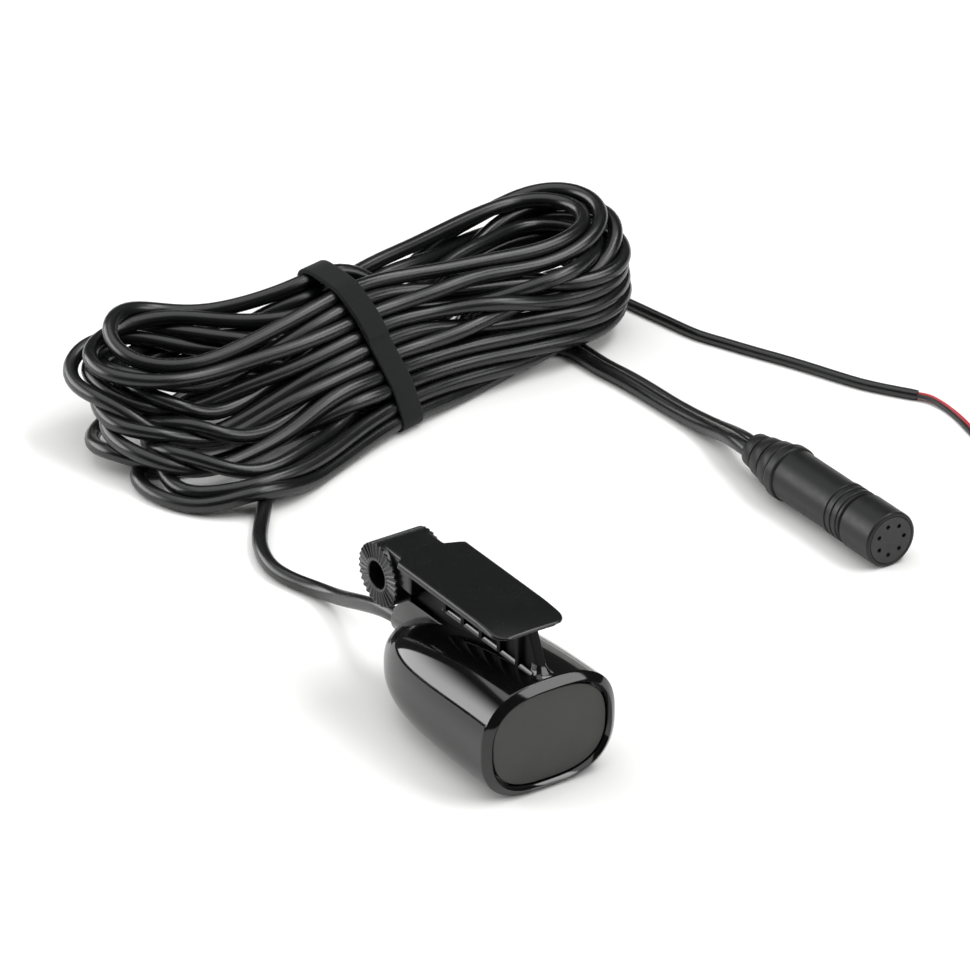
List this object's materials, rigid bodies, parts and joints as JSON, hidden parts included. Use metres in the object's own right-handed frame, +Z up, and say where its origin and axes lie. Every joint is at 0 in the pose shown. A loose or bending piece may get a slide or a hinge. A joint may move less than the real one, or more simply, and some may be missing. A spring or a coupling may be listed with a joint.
{
  "type": "sonar transducer",
  "caption": "Bullet-shaped sonar transducer with a moulded mounting arm and serrated pivot hub, its cable tied in a hank, a round connector and a power lead.",
  "frame": {"origin": "under the middle of the pod and arm, on the floor that the flat belly lies on", "axes": "+X across the pod along the pivot bore, +Y along the pod out of its nose, +Z up"},
  "size_m": [0.3166, 0.3339, 0.0595],
  "materials": {
    "housing_gloss": "polished black moulding",
    "cover_matte": "fine matte dark grey",
    "resin": "cast",
    "ceramic": "fired, unglazed",
    "cork": "cut cork",
    "sensor_bead": "dipped bead",
    "cable_jacket": "satin black jacket",
    "rubber_black": "satin",
    "strap": "matte strap",
    "connector_satin": "satin black",
    "insert_matte": "matte black",
    "contact_brass": "plated",
    "wire_red": "satin insulation",
    "wire_black": "satin insulation",
    "wire_grey": "satin insulation",
    "tinned_copper": "tinned strands"
  },
  "bodies": {
    "root": {"housing": "housing_gloss", "rear_cover": "cover_matte", "resin_block": "resin", "ceramic_disc": "ceramic", "cork_backing": "cork", "temperature_sensor": "sensor_bead", "element_wire_live": "wire_red", "element_wire_return": "wire_black", "sensor_wires": "wire_grey", "cable_entry": "cable_jacket", "cable_grommet": "rubber_black", "cable_lead": "cable_jacket", "cable_hank": "cable_jacket", "hank_tie": "strap", "cable_tail": "cable_jacket", "power_tail": "cable_jacket", "power_lead": "cable_jacket", "red_wire": "wire_red", "black_wire": "wire_black", "wire_tips": "tinned_copper", "connector_boot": "rubber_black", "connector_body": "connector_satin", "connector_seal_ring": "rubber_black", "connector_insert": "insert_matte", "connector_contacts": "contact_brass"}
  },
  "joints": []
}
